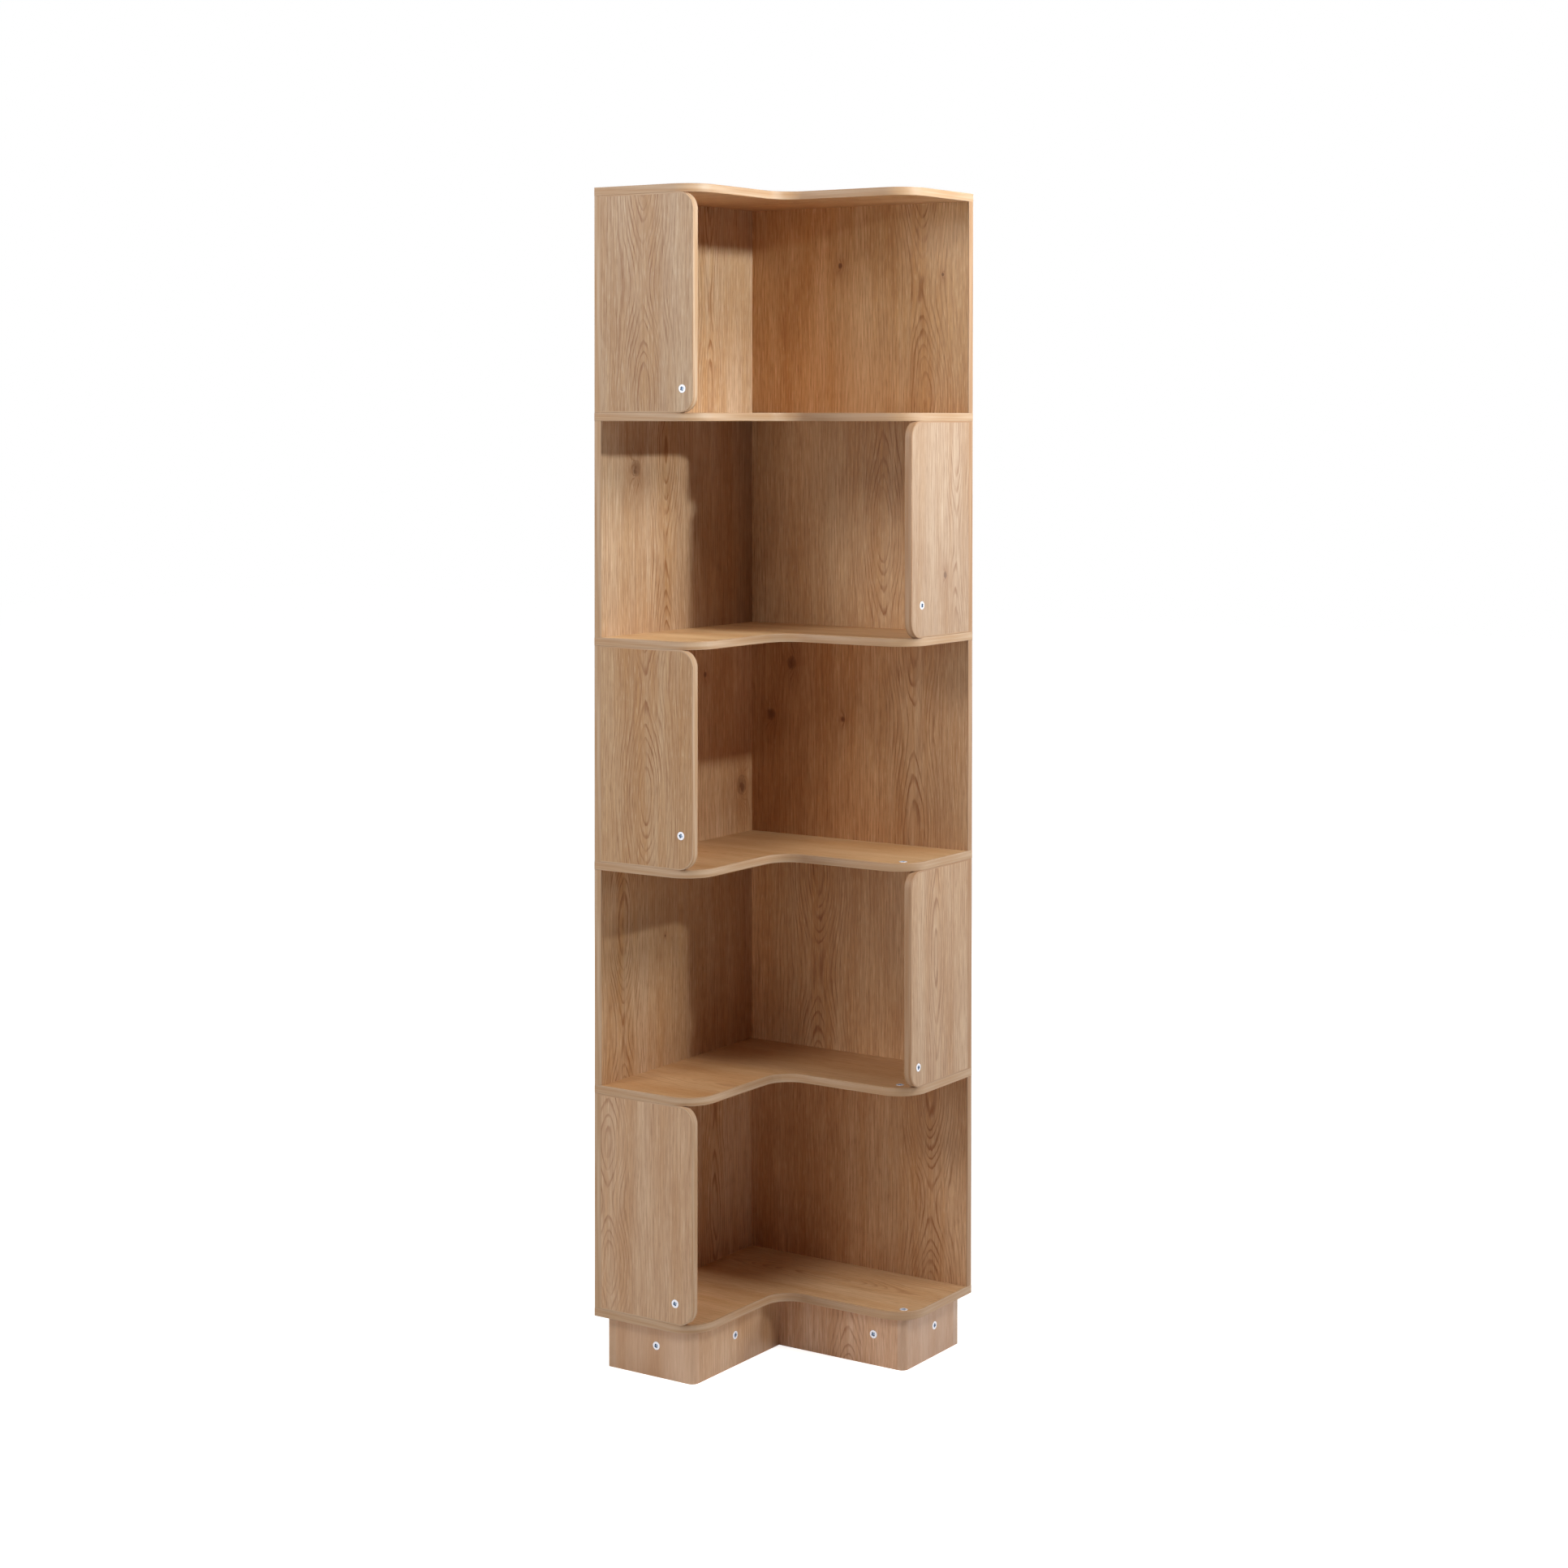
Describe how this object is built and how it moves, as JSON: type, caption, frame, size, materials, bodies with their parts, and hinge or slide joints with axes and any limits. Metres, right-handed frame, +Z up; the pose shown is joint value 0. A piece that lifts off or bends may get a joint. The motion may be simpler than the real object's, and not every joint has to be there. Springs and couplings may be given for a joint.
{
  "type": "corner bookcase",
  "caption": "Open L-shaped corner bookcase with rounded boards, back panels on both walls, end panels on alternate wings and a recessed plinth.",
  "frame": {"origin": "centre of the bounding square in plan, at floor level", "axes": "+Z up; the left wall is the plane x = -0.2 m, the rear wall is y = +0.2 m, and the open side looks along +X and -Y"},
  "size_m": [0.4004, 0.4004, 1.712],
  "materials": {
    "oak_melamine": "light oak woodgrain melamine on 12 mm board, satin",
    "oak_edging": "2 mm edging in the same light oak, satin",
    "cam_zinc": "bright cast zinc alloy",
    "bolt_steel": "zinc plated",
    "beech": "plain beech"
  },
  "bodies": {
    "root": {"bottom_board": "oak_melamine", "bottom_board_edge_band": "oak_edging", "corner_dowels": "beech", "deck_cams": "cam_zinc", "end_panel_1": "oak_melamine", "end_panel_1_edge_band": "oak_edging", "end_panel_2": "oak_melamine", "end_panel_2_edge_band": "oak_edging", "end_panel_3": "oak_melamine", "end_panel_3_edge_band": "oak_edging", "end_panel_4": "oak_melamine", "end_panel_4_edge_band": "oak_edging", "end_panel_5": "oak_melamine", "end_panel_5_edge_band": "oak_edging", "end_panel_dowels": "beech", "left_back_edge_bands": "oak_edging", "left_back_panel_1": "oak_melamine", "left_back_panel_2": "oak_melamine", "left_back_panel_3": "oak_melamine", "left_back_panel_4": "oak_melamine", "left_back_panel_5": "oak_melamine", "panel_cams": "cam_zinc", "plinth_cam_bolts": "bolt_steel", "plinth_cams": "cam_zinc", "plinth_dowels": "beech", "plinth_end_left": "oak_melamine", "plinth_end_right": "oak_melamine", "plinth_front_left": "oak_melamine", "plinth_front_right": "oak_melamine", "plinth_rear_left": "oak_melamine", "plinth_rear_right": "oak_melamine", "right_back_edge_bands": "oak_edging", "right_back_panel_1": "oak_melamine", "right_back_panel_2": "oak_melamine", "right_back_panel_3": "oak_melamine", "right_back_panel_4": "oak_melamine", "right_back_panel_5": "oak_melamine", "shelf_board_1": "oak_melamine", "shelf_board_1_edge_band": "oak_edging", "shelf_board_2": "oak_melamine", "shelf_board_2_edge_band": "oak_edging", "shelf_board_3": "oak_melamine", "shelf_board_3_edge_band": "oak_edging", "shelf_board_4": "oak_melamine", "shelf_board_4_edge_band": "oak_edging", "top_board": "oak_melamine", "top_board_edge_band": "oak_edging", "wall_dowels": "beech"}
  },
  "joints": []
}
